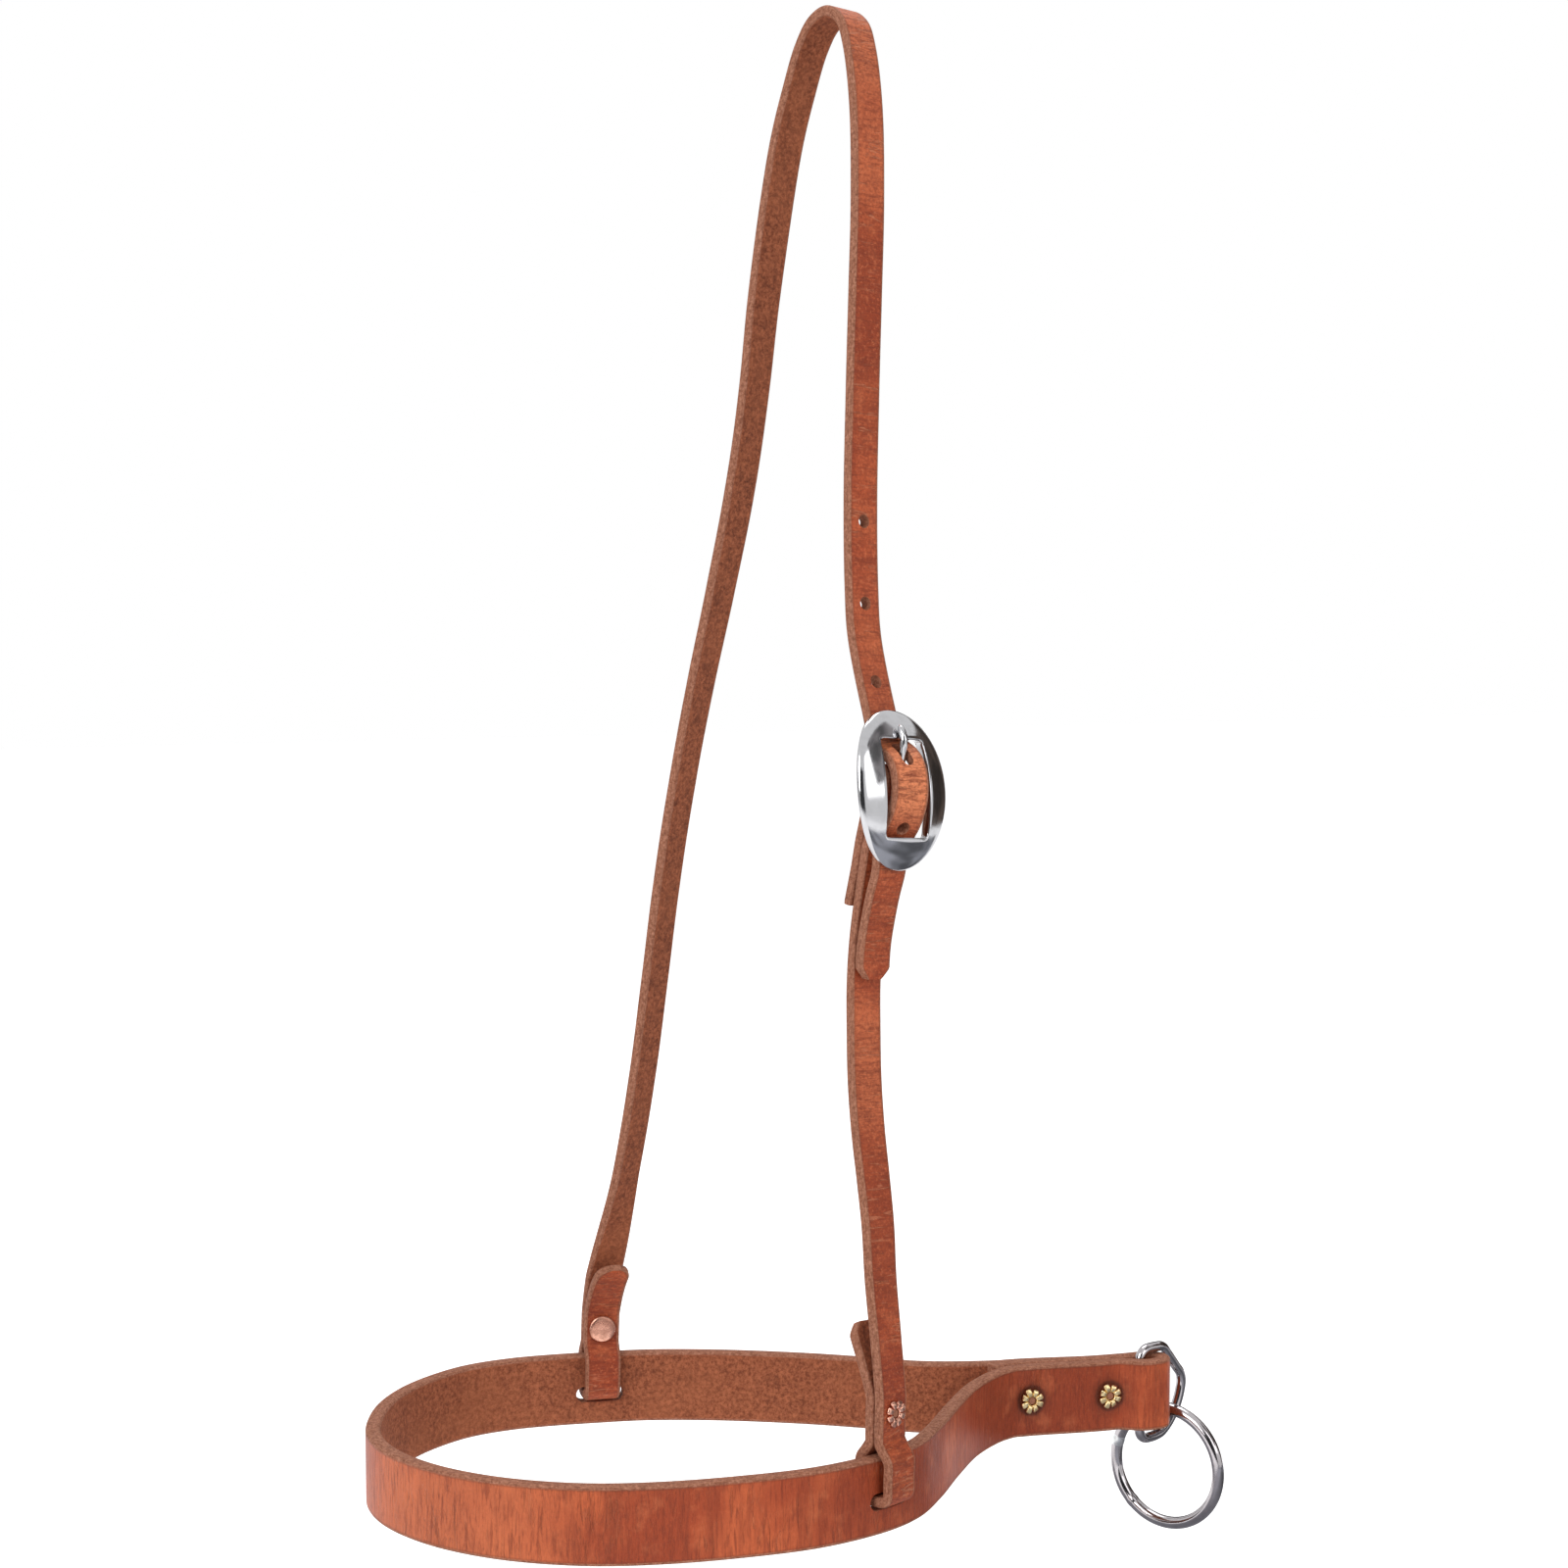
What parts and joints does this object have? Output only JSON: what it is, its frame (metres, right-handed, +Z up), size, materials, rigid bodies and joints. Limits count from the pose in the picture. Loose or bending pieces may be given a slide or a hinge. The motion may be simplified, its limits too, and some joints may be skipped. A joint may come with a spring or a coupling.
{
  "type": "bridle noseband",
  "caption": "Western tie-down noseband: leather nose loop hung from a buckled crown strap, with a dee and a loose ring at its tail.",
  "frame": {"origin": "underside of the crown strap, where the horse's poll carries it", "axes": "+X from the nose towards the tail with the dee, +Y across the nose to the far side, +Z up along the headstall"},
  "size_m": [0.3106, 0.1671, 0.5366],
  "materials": {
    "leather": "oiled harness leather, grain side out",
    "stainless": "polished stainless",
    "nickel": "nickel plate",
    "copper": "copper, lightly tarnished",
    "brass": "polished brass",
    "steel": "bright steel, darkened with use"
  },
  "bodies": {
    "headstall": {"crown_strap": "leather", "near_cheek_strap": "leather", "far_hanger_rivet": "copper", "far_hanger_rivet_plug": "leather", "near_hanger_rivet": "copper", "near_hanger_rivet_plug": "leather", "chape_rivet": "nickel", "chape_rivet_plug": "leather"},
    "noseband": {"noseband_strap": "leather", "tail_rivet_front": "brass", "tail_rivet_front_plug": "leather", "tail_rivet_rear": "brass", "tail_rivet_rear_plug": "leather"},
    "buckle": {"buckle_frame": "stainless"},
    "tongue": {"buckle_tongue": "stainless"},
    "dee": {"tail_dee": "steel"},
    "ring": {"tie_down_ring": "steel"}
  },
  "joints": [
    {"name": "noseband_rock", "type": "hinge", "parent": "headstall", "child": "noseband", "pos_m": [-0.03763, -0.00013, -0.47975], "axis": [0.3304, -0.9438, 0], "range_deg": [-2, 2]},
    {"name": "buckle_rock", "type": "hinge", "parent": "headstall", "child": "buckle", "pos_m": [-0.00123, -0.0543, -0.25068], "axis": [0.9409, 0.3293, -0.0795], "range_deg": [-1.5, 1.5]},
    {"name": "tongue_swing", "type": "hinge", "parent": "buckle", "child": "tongue", "pos_m": [-0.00123, -0.0543, -0.25068], "axis": [0.9409, 0.3293, -0.0795], "range_deg": [0, 3]},
    {"name": "dee_swing", "type": "hinge", "parent": "noseband", "child": "dee", "pos_m": [0.11977, 0.00653, -0.48075], "axis": [0, 0, 1], "range_deg": [-15, 12]},
    {"name": "ring_swing", "type": "hinge", "parent": "dee", "child": "ring", "pos_m": [0.13621, 0.01251, -0.4905], "axis": [-0.5284, -0.1923, -0.8269], "range_deg": [-2, 20]}
  ]
}
